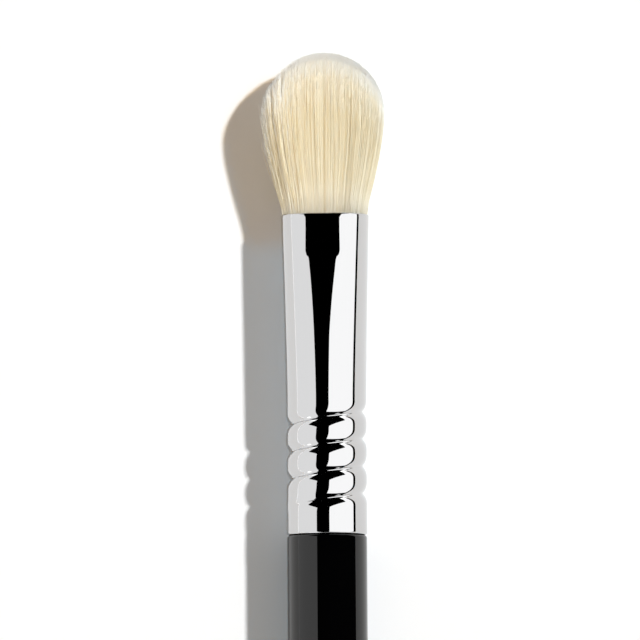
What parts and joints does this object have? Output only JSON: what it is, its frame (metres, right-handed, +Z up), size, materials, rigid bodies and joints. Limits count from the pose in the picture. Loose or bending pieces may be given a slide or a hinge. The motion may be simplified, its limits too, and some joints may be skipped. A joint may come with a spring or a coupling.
{
  "type": "eyeshadow brush",
  "caption": "Eyeshadow brush: a flared, domed tuft of ivory hair in a plated ferrule with a rolled spiral groove, on a tapered wooden handle in gloss black lacquer.",
  "frame": {"origin": "under the middle of the brush, on the table that it lies on with its broad side up", "axes": "+Y along the brush from the tail of the handle to the tip of the hair, +Z up, out of the broad side of the tuft, +X to the right"},
  "size_m": [0.011, 0.1658, 0.0083],
  "materials": {
    "hair": "soft natural hair, ivory",
    "plated_metal": "polished nickel plate over thin brass tube",
    "black_lacquer": "turned wood in gloss black lacquer",
    "thread": "matt sewing thread",
    "glue": "cured clear resin"
  },
  "bodies": {
    "root": {"hair_tuft": "hair", "ferrule": "plated_metal", "handle": "black_lacquer", "root_tie": "thread", "root_glue": "glue", "tenon_glue": "glue"}
  },
  "joints": []
}
